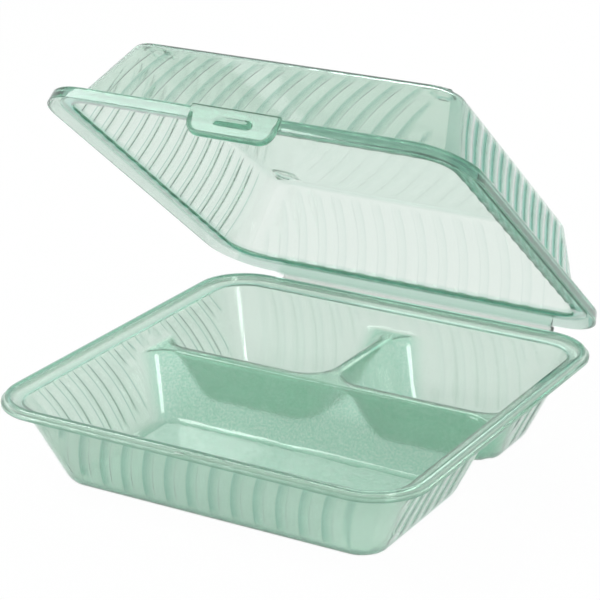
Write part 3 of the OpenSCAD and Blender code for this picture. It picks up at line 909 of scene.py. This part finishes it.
def tab_points(across, down):
    """Front and back points of the tab, and its painted shade in deeper green. Its
    half width at a depth below the band's top is full, then follows the corner's arc."""
    u = np.linspace(-1, 1, across + 1)
    u = np.sign(u) * (1 - (1 - np.abs(u)) ** 1.5)
    v = np.linspace(0, 1, down + 1)
    v = 1 - (1 - v) ** 1.4
    depth = v * TAB_DROP
    over = np.clip(depth - (TAB_DROP - TAB_RADIUS), 0, TAB_RADIUS)
    half = TAB_WIDTH / 2 - TAB_RADIUS + np.sqrt(np.maximum(TAB_RADIUS ** 2 - over ** 2, 0))
    x = u[:, None] * half[None, :]
    z = np.broadcast_to(BAND_TOP - depth, x.shape)
    beside = np.maximum(np.abs(x) - (TAB_WIDTH / 2 - TAB_RADIUS), 0)
    below = np.broadcast_to(over, x.shape)
    edge = np.where((beside > 0) & (below > 0), TAB_RADIUS - np.hypot(beside, below),
                    np.minimum(TAB_WIDTH / 2 - np.abs(x), TAB_DROP - (BAND_TOP - z)))
    edge = np.maximum(edge, 0)
    bead = np.clip(1 - np.abs(edge - 1.1) / 1.3, 0, 1) * np.clip((BAND_TOP - z - 3) / 4, 0, 1)
    grip_x = np.maximum(np.abs(x) - (GRIP_LENGTH - GRIP_HEIGHT) / 2, 0)
    grip = np.clip((GRIP_HEIGHT / 2 - np.hypot(grip_x, z - LID_LIP)) / 2.4 + 0.5, 0, 1)
    grip = smooth(grip)
    rounding = np.sqrt(np.clip(edge / 0.7, 0, 1) * (2 - np.clip(edge / 0.7, 0, 1)))
    raised = GRIP_RISE * np.maximum(smooth(bead), GRIP_SHARE * grip)
    out = LIP_HALF + TAB_GAP + TAB_EDGE + (WALL - TAB_EDGE) * rounding + raised
    front = np.stack([x, -out, z], axis=-1)
    rear = np.stack([x, np.full_like(x, -LIP_HALF - TAB_GAP), z], axis=-1)
    # Painted shade: nearly full over the tab's front, full at the grip bar and along the lower edge.
    shaded_low_edge = np.clip(1.6 - edge / 1.6, 0, 1) * np.clip((depth - 5) / 6, 0, 1)
    deep = np.maximum(0.95 + 0.05 * grip, shaded_low_edge)
    return front, rear, deep


def sheet_faces(across, down):
    """Faces of a closed plate: front, back and the strip round its edge."""
    size = (across + 1) * (down + 1)
    front = np.arange(size).reshape(across + 1, down + 1)
    rear = front + size
    quads = [grid_quads(front, -1), grid_quads(rear)]
    loop = np.concatenate([front[:-1, 0], front[-1, :-1], front[:0:-1, -1], front[0, :0:-1]])
    ahead = np.roll(loop, -1)
    quads.append(np.stack([loop, ahead, ahead + size, loop + size], axis=-1))
    return np.concatenate(quads)


TAB_GRID = (60, 26)
tab_front, tab_rear, tab_painted_shade = tab_points(*TAB_GRID)
tab_shape = np.concatenate([tab_front.reshape(-1, 3), tab_rear.reshape(-1, 3)])
tab = surface_object("latch_tab", opened(tab_shape) * MM, sheet_faces(*TAB_GRID))
tab.data.shade_smooth()
# The tab's front gets its painted shade, its back a light painted shade.
paint(tab, "deep", np.concatenate([tab_painted_shade.ravel(), np.full(tab_painted_shade.size, 0.2)]))
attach(tab, "lid")

# %% [markdown]
# ## The hinge strip
#
# The hinge is a thin strip between two flat leaves, one behind each lip. It is a
# strip wrapped round the hinge line at one radius, shaped for the open lid, and it
# bends smoothly between the tray and the lid.

# %% Shape of the hinge strip
WEB_REACH, WEB_THICK, BLEND_REACH = 1.1, 0.4, 0.9


def strip_points(around, along):
    """Outer and inner points of the strip: an arc round the hinge line."""
    reach = LEDGE_TOP - LEAF_THICK / 2 - HINGE_Z
    radius = math.hypot(WEB_REACH, reach)
    start = math.acos(-WEB_REACH / (radius + WEB_THICK / 2 + 0.02))
    angle = np.linspace(-start, start - OPEN, around + 1)[:, None]
    x = np.linspace(-HINGE_LENGTH / 2, HINGE_LENGTH / 2, along + 1)[None, :]
    rings = []
    for r in (radius + WEB_THICK / 2, radius - WEB_THICK / 2):
        y, z = HINGE_Y + r * np.cos(angle), HINGE_Z + r * np.sin(angle)
        rings.append(np.stack(np.broadcast_arrays(x, y, z), axis=-1))
    return rings


STRIP_GRID = (16, 40)
outer_strip, inner_strip = strip_points(*STRIP_GRID)
strip_shape = np.concatenate([inner_strip.reshape(-1, 3), outer_strip.reshape(-1, 3)])
strip = surface_object("hinge_strip", strip_shape * MM, sheet_faces(*STRIP_GRID))
strip.data.shade_smooth()
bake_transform(strip)
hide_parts("hinge_web")

# %% [markdown]
# ## Plastic
#
# Polypropylene is clear but milky: light goes through it with a little scatter,
# and long ways through it, as along an edge, turn it deep green. So the surface
# is a transmitting one with some plain colour, and the volume inside it absorbs
# red first. On top of that, a painted shade in deeper green is mixed into the
# surface colour along edges, beside the ribs' steps, near the tray's foot and
# over the tab. Floors and dividers of the tray are moulded with a fine grain.


# %% Shader group for the moulded grain
def grain_group():
    """A group that puts out the grain's height and its bright specks, both 0 to 1
    and only where the frost mask is on."""
    group = bpy.data.node_groups.new("moulded_grain", "ShaderNodeTree")
    for name, value in (("Frost", 1), ("Scale", 1000), ("Plain", 0.1)):
        socket = group.interface.new_socket(name, in_out="INPUT", socket_type="NodeSocketFloat")
        socket.default_value = value
    for name in ("Height", "Specks"):
        group.interface.new_socket(name, in_out="OUTPUT", socket_type="NodeSocketFloat")
    nodes, links = group.nodes, group.links
    start, finish = nodes.new("NodeGroupInput"), nodes.new("NodeGroupOutput")
    where = nodes.new("ShaderNodeTexCoord")
    fine = nodes.new("ShaderNodeTexNoise")
    fine.inputs["Detail"].default_value = 2
    links.new(where.outputs["Object"], fine.inputs["Vector"])
    links.new(start.outputs["Scale"], fine.inputs["Scale"])
    strength = math_node(nodes, links, "MAXIMUM", start.outputs["Frost"], start.outputs["Plain"])
    height = math_node(nodes, links, "MULTIPLY", fine.outputs["Fac"], strength)
    links.new(height, finish.inputs["Height"])
    bright = ramp(nodes, links, fine.outputs["Fac"], (0.42, 0.62), (0, 1))
    half = math_node(nodes, links, "MULTIPLY", start.outputs["Frost"], 0.5)
    links.new(math_node(nodes, links, "MULTIPLY", bright, half), finish.inputs["Specks"])
    return group


grain = grain_group()


# %% Materials
def mixed_color(nodes, links, share, first, second):
    """Mixes two colours by a share. The first may be a colour or a node's output."""
    node = nodes.new("ShaderNodeMix")
    node.data_type = "RGBA"
    links.new(share, node.inputs[0])
    if isinstance(first, bpy.types.NodeSocket):
        links.new(first, node.inputs[6])
    else:
        node.inputs[6].default_value = (*first, 1)
    node.inputs[7].default_value = (*second, 1)
    return node.outputs[2]


def plastic(name, light, frosted, deep, milk, rough, density, absorb):
    """Translucent polypropylene: transmission with a share of plain colour (milk),
    a glossy coat, painted shade in deeper green where the mesh says so, grain where
    it is frosted, and absorption in its thickness."""
    material = bpy.data.materials.new(name)
    nodes, links = new_tree(material)
    shader = nodes.new("ShaderNodeBsdfPrincipled")
    shader.inputs["IOR"].default_value = 1.3
    shader.inputs["Transmission Weight"].default_value = 1 - milk
    shader.inputs["Coat Weight"].default_value = 1.0
    shader.inputs["Coat Roughness"].default_value = 0.04
    depth = nodes.new("ShaderNodeAttribute")
    depth.attribute_name = "deep"
    frost = nodes.new("ShaderNodeAttribute")
    frost.attribute_name = "frost"
    texture = nodes.new("ShaderNodeGroup")
    texture.node_tree = grain
    links.new(frost.outputs["Fac"], texture.inputs["Frost"])
    side = nodes.new("ShaderNodeNewGeometry")
    # The painted shade is weaker where a face is seen from behind.
    facing = ramp(nodes, links, side.outputs["Backfacing"], (0, 1), (1, 0.15))
    base = mixed_color(nodes, links, frost.outputs["Fac"], light, frosted)
    shade_share = math_node(nodes, links, "MULTIPLY", depth.outputs["Fac"], facing)
    shaded_base = mixed_color(nodes, links, shade_share, base, deep)
    specked = mixed_color(nodes, links, texture.outputs["Specks"], shaded_base, light)
    links.new(specked, shader.inputs["Base Color"])
    links.new(ramp(nodes, links, frost.outputs["Fac"], (0, 1), rough), shader.inputs["Roughness"])
    bump = nodes.new("ShaderNodeBump")
    bump.inputs["Strength"].default_value = 0.5
    bump.inputs["Distance"].default_value = 0.0002
    links.new(texture.outputs["Height"], bump.inputs["Height"])
    links.new(bump.outputs["Normal"], shader.inputs["Normal"])
    inside = nodes.new("ShaderNodeVolumeAbsorption")
    inside.inputs["Color"].default_value = (*absorb, 1)
    inside.inputs["Density"].default_value = density
    output = nodes.new("ShaderNodeOutputMaterial")
    links.new(shader.outputs[0], output.inputs["Surface"])
    links.new(inside.outputs[0], output.inputs["Volume"])
    return material


# Colour of the painted shade.
SHADE_GREEN = (0.04, 0.36, 0.27)
LID_LIGHT, LID_FROSTED = (0.985, 0.98, 0.965), (0.98, 0.99, 0.98)
tray_plastic = plastic("tray_plastic", (0.93, 0.96, 0.93), (0.56, 0.82, 0.70), SHADE_GREEN, 0.18,
                       (0.12, 0.18), 130, (0.04, 0.58, 0.31))
lid_plastic = plastic("lid_plastic", LID_LIGHT, LID_FROSTED, SHADE_GREEN, 0.06, (0.08, 0.3), 100,
                      (0.04, 0.58, 0.34))
# The tab's painted shade is a darker green than the rest.
tab_plastic = plastic("tab_plastic", LID_LIGHT, LID_FROSTED, (0.06, 0.24, 0.15), 0.06, (0.08, 0.3), 100,
                      (0.04, 0.58, 0.34))
tray.data.materials.append(tray_plastic)
lid.data.materials.append(lid_plastic)
tab.data.materials.append(tab_plastic)
strip.data.materials.append(tray_plastic)
